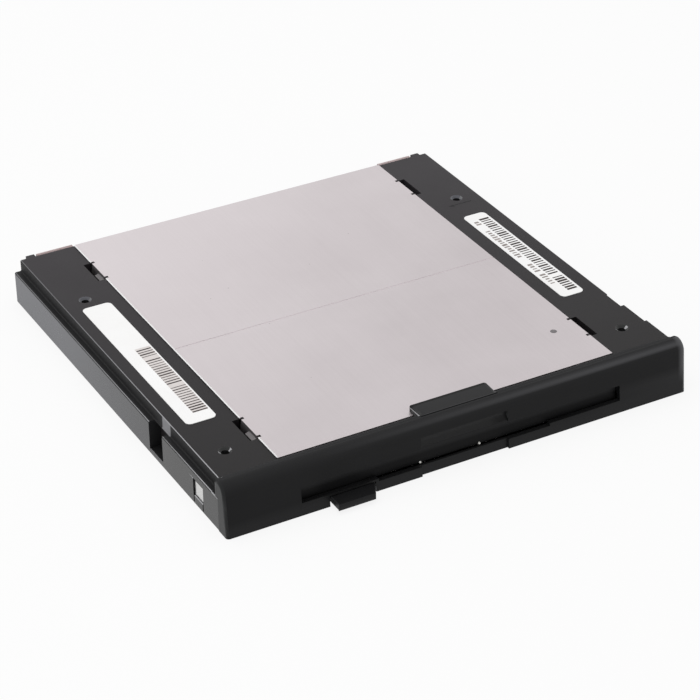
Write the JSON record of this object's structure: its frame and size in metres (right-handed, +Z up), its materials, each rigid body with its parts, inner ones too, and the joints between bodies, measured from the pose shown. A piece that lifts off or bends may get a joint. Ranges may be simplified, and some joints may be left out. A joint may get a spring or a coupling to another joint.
{
  "type": "slim diskette drive module",
  "caption": "Slim 3.5-inch diskette drive module for a notebook bay, shown base plate up, with slot flap, eject button and working disk mechanism.",
  "frame": {"origin": "centre of the bounding box at the surface that the module lies on", "axes": "+Z up from the lower cover to the base plate, +Y from the bezel to the rear connector, +X to the right when facing the bezel"},
  "size_m": [0.1314, 0.1336, 0.0144],
  "materials": {
    "frame_black": "satin, faintly grained moulding",
    "bezel_black": "fine satin moulding",
    "base_steel": "satin zinc-plated sheet",
    "bright_steel": "bright sheet and turned steel",
    "label_paper": "matt white label",
    "amber_film": "translucent amber film",
    "flap_black": "satin",
    "board_green": "solder mask over glass laminate",
    "chip_black": "moulded epoxy",
    "copper_coil": "enamelled copper wire",
    "core_steel": "stacked steel sheets",
    "magnet_dark": "bonded magnet",
    "bearing_brass": "sintered bronze",
    "carriage_resin": "glass-filled resin",
    "head_ceramic": "polished ceramic slider"
  },
  "bodies": {
    "housing": {"carrier_frame": "frame_black", "bezel": "bezel_black", "cover_plate": "base_steel", "lower_cover": "base_steel", "left_label": "label_paper", "right_label": "label_paper", "rear_film": "amber_film", "latch_plate": "bright_steel", "chassis_rail_right": "bright_steel", "chassis_rail_left": "bright_steel", "motor_board": "board_green", "board_chips": "chip_black", "media_switches": "chip_black", "stator_core": "core_steel", "stator_coils": "copper_coil", "spindle_bearing": "bearing_brass", "stepper_motor": "bright_steel", "screw_bracket": "bright_steel", "guide_rod": "bright_steel", "rod_clamps": "carriage_resin", "bay_connector": "chip_black", "connector_board": "board_green"},
    "dust_flap": {"dust_flap": "flap_black"},
    "eject_slider": {"eject_plate": "bright_steel", "eject_button": "bezel_black"},
    "disk_cage": {"disk_cage": "bright_steel", "lever_pivot": "bright_steel"},
    "trigger_lever": {"trigger_lever": "carriage_resin"},
    "spindle": {"spindle_hub": "bright_steel", "rotor_cup": "bright_steel", "rotor_magnet": "magnet_dark", "drive_pin": "bearing_brass"},
    "lead_screw": {"lead_screw": "bright_steel"},
    "head_carriage": {"head_carriage": "carriage_resin", "lower_head": "head_ceramic", "arm_hinge_pin": "bright_steel"},
    "head_arm": {"head_arm": "carriage_resin", "upper_head": "head_ceramic"}
  },
  "joints": [
    {"name": "eject_slide", "type": "slide", "parent": "housing", "child": "eject_slider", "axis": [0, 1, 0], "range_m": [0, 0.004], "stiffness_N_per_m": 300, "springref_m": -0.004},
    {"name": "cage_lift", "type": "slide", "parent": "housing", "child": "disk_cage", "axis": [0, 0, 1], "range_m": [-0.00162, 0.00002]},
    {"name": "trigger_swing", "type": "hinge", "parent": "disk_cage", "child": "trigger_lever", "pos_m": [0.036, 0.0362, 0.00395], "axis": [0, 0, 1], "range_deg": [-0.2, 30.2]},
    {"name": "spindle_turn", "type": "hinge", "parent": "housing", "child": "spindle", "pos_m": [0, -0.0118, 0.0089], "axis": [0, 0, 1], "continuous": true},
    {"name": "carriage_slide", "type": "slide", "parent": "housing", "child": "head_carriage", "axis": [0, 1, 0], "range_m": [-0.0148, 0]},
    {"name": "screw_turn", "type": "hinge", "parent": "housing", "child": "lead_screw", "pos_m": [-0.016, 0.0532, 0.00895], "axis": [0, 1, 0], "range_deg": [-1441, 1]},
    {"name": "arm_lift", "type": "hinge", "parent": "head_carriage", "child": "head_arm", "pos_m": [0, 0.0537, 0.00375], "axis": [1, 0, 0], "range_deg": [-0.1, 9.1]},
    {"name": "flap_hinge", "type": "hinge", "parent": "housing", "child": "dust_flap", "pos_m": [0, -0.05987, 0.0083], "axis": [1, 0, 0], "range_deg": [0, 80], "stiffness_Nm_per_rad": 0.001, "springref_deg": -17.19}
  ],
  "couplings": [
    {"joint": "cage_lift", "follows": "eject_slide", "ratio": -0.4},
    {"joint": "trigger_swing", "follows": "eject_slide", "rad_per_m": 130.9},
    {"joint": "arm_lift", "follows": "eject_slide", "rad_per_m": 39.27},
    {"joint": "screw_turn", "follows": "carriage_slide", "rad_per_m": 1698.2}
  ]
}
